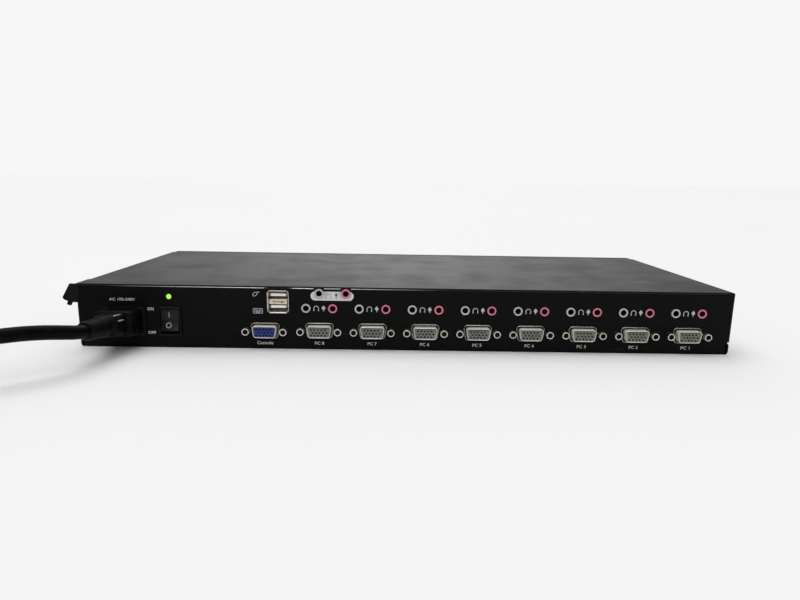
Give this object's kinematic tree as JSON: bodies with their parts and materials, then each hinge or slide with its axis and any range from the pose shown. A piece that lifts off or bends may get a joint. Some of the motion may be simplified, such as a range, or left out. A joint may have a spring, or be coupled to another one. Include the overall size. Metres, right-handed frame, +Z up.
{
  "type": "kvm switch",
  "caption": "Slim rack-width KVM switch: black steel case with video, audio and USB ports on the rear, rocker power switch, front push buttons and plugged-in mains lead.",
  "frame": {"origin": "on the standing surface under the middle of the steel case's outline", "axes": "+Z up, -Y out of the rear panel that carries the connectors, +X to the right when looking at that rear panel"},
  "size_m": [0.5993, 0.3006, 0.043],
  "materials": {
    "black_steel": "satin black powder coat",
    "black_plastic": "matte",
    "rocker_plastic": "satin",
    "button_plastic": "satin",
    "nickel": "nickel plated, slightly warm",
    "usb_plastic": "moulded white nylon",
    "green_jack": "pale grey-green moulded",
    "pink_jack": "pink moulded",
    "black_zinc": "black zinc",
    "board": "solder mask",
    "wire": "PVC insulation",
    "lamp": "clear green lens, lit",
    "cord_rubber": "matte PVC"
  },
  "bodies": {
    "case": {"base_tray": "black_steel", "top_cover": "black_steel", "front_panel": "black_plastic", "mains_inlet": "black_plastic", "rocker_frame": "black_plastic", "cord_hook": "black_plastic", "transformer": "black_plastic", "console_video": "nickel", "pc1_video": "nickel", "pc2_video": "nickel", "pc3_video": "nickel", "pc4_video": "nickel", "pc5_video": "nickel", "pc6_video": "nickel", "pc7_video": "nickel", "pc8_video": "nickel", "usb_shell": "nickel", "usb_block": "usb_plastic", "console_audio_out": "green_jack", "console_audio_mic": "pink_jack", "pc1_audio_out": "green_jack", "pc1_audio_mic": "pink_jack", "pc2_audio_out": "green_jack", "pc2_audio_mic": "pink_jack", "pc3_audio_out": "green_jack", "pc3_audio_mic": "pink_jack", "pc4_audio_out": "green_jack", "pc4_audio_mic": "pink_jack", "pc5_audio_out": "green_jack", "pc5_audio_mic": "pink_jack", "pc6_audio_out": "green_jack", "pc6_audio_mic": "pink_jack", "pc7_audio_out": "green_jack", "pc7_audio_mic": "pink_jack", "pc8_audio_out": "green_jack", "pc8_audio_mic": "pink_jack", "cover_screw_1": "black_zinc", "cover_screw_2": "black_zinc", "cover_screw_3": "black_zinc", "cover_screw_4": "black_zinc", "main_board": "board", "audio_board": "board", "power_board": "board", "button_board": "board", "ribbon_cable": "wire", "power_leads": "wire", "power_lamp": "lamp", "cord_plug": "cord_rubber", "cord_run": "cord_rubber", "cord_coil": "cord_rubber", "wall_plug": "cord_rubber"},
    "rocker": {"rocker": "rocker_plastic"},
    "button_1": {"button_1": "button_plastic"},
    "button_2": {"button_2": "button_plastic"},
    "button_3": {"button_3": "button_plastic"},
    "button_4": {"button_4": "button_plastic"},
    "button_5": {"button_5": "button_plastic"},
    "button_6": {"button_6": "button_plastic"},
    "button_7": {"button_7": "button_plastic"},
    "button_8": {"button_8": "button_plastic"}
  },
  "joints": [
    {"name": "rocker_tip", "type": "hinge", "parent": "case", "child": "rocker", "pos_m": [-0.1589, -0.0893, 0.0183], "axis": [1, 0, 0], "range_deg": [0, 18]},
    {"name": "button_1_press", "type": "slide", "parent": "case", "child": "button_1", "axis": [0, -1, 0], "range_m": [0, 0.0012], "stiffness_N_per_m": 200, "springref_m": -0.002},
    {"name": "button_2_press", "type": "slide", "parent": "case", "child": "button_2", "axis": [0, -1, 0], "range_m": [0, 0.0012], "stiffness_N_per_m": 200, "springref_m": -0.002},
    {"name": "button_3_press", "type": "slide", "parent": "case", "child": "button_3", "axis": [0, -1, 0], "range_m": [0, 0.0012], "stiffness_N_per_m": 200, "springref_m": -0.002},
    {"name": "button_4_press", "type": "slide", "parent": "case", "child": "button_4", "axis": [0, -1, 0], "range_m": [0, 0.0012], "stiffness_N_per_m": 200, "springref_m": -0.002},
    {"name": "button_5_press", "type": "slide", "parent": "case", "child": "button_5", "axis": [0, -1, 0], "range_m": [0, 0.0012], "stiffness_N_per_m": 200, "springref_m": -0.002},
    {"name": "button_6_press", "type": "slide", "parent": "case", "child": "button_6", "axis": [0, -1, 0], "range_m": [0, 0.0012], "stiffness_N_per_m": 200, "springref_m": -0.002},
    {"name": "button_7_press", "type": "slide", "parent": "case", "child": "button_7", "axis": [0, -1, 0], "range_m": [0, 0.0012], "stiffness_N_per_m": 200, "springref_m": -0.002},
    {"name": "button_8_press", "type": "slide", "parent": "case", "child": "button_8", "axis": [0, -1, 0], "range_m": [0, 0.0012], "stiffness_N_per_m": 200, "springref_m": -0.002}
  ]
}
